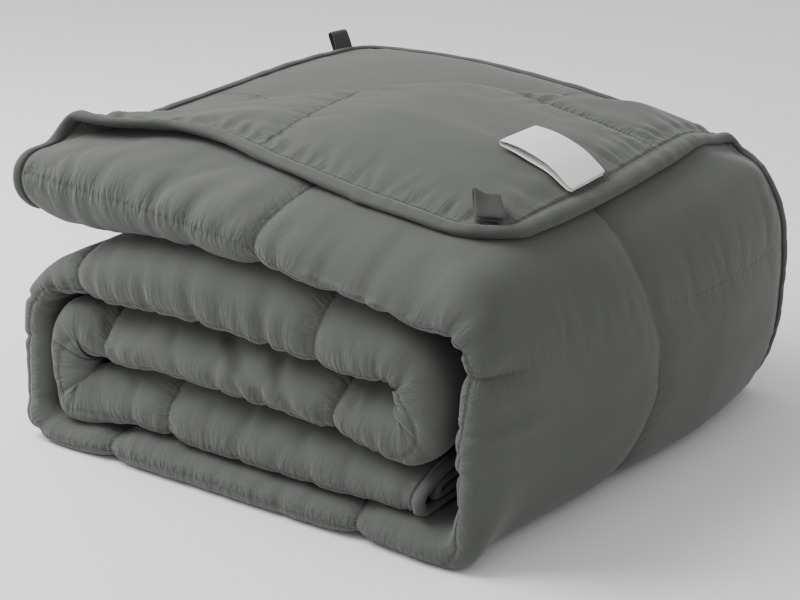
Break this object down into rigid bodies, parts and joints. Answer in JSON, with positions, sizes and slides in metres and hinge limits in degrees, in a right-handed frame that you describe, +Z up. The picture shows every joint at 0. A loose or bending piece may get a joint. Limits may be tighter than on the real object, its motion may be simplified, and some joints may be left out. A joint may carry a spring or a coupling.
{
  "type": "weighted blanket",
  "caption": "Quilted weighted blanket folded in quarters and then into a block, with one bound corner turned back to show a care label and tie loop.",
  "frame": {"origin": "middle of the underside of the folded block, on the surface it rests on", "axes": "+Z up; -Y the front, where the outer folds of the quartered strip show; +X the right side, where the outer turn of the strip wraps the block"},
  "size_m": [0.394, 0.3854, 0.2382],
  "materials": {
    "quilt_cover": "soft matte brushed microfibre",
    "binding_fabric": "matte woven tape",
    "label_fabric": "smooth white woven tape",
    "loop_tape": "matte folded tape"
  },
  "bodies": {
    "root": {"quilted_layers": "quilt_cover", "edge_binding": "binding_fabric", "care_label": "label_fabric", "corner_loop": "loop_tape", "back_loop": "loop_tape"}
  },
  "joints": []
}
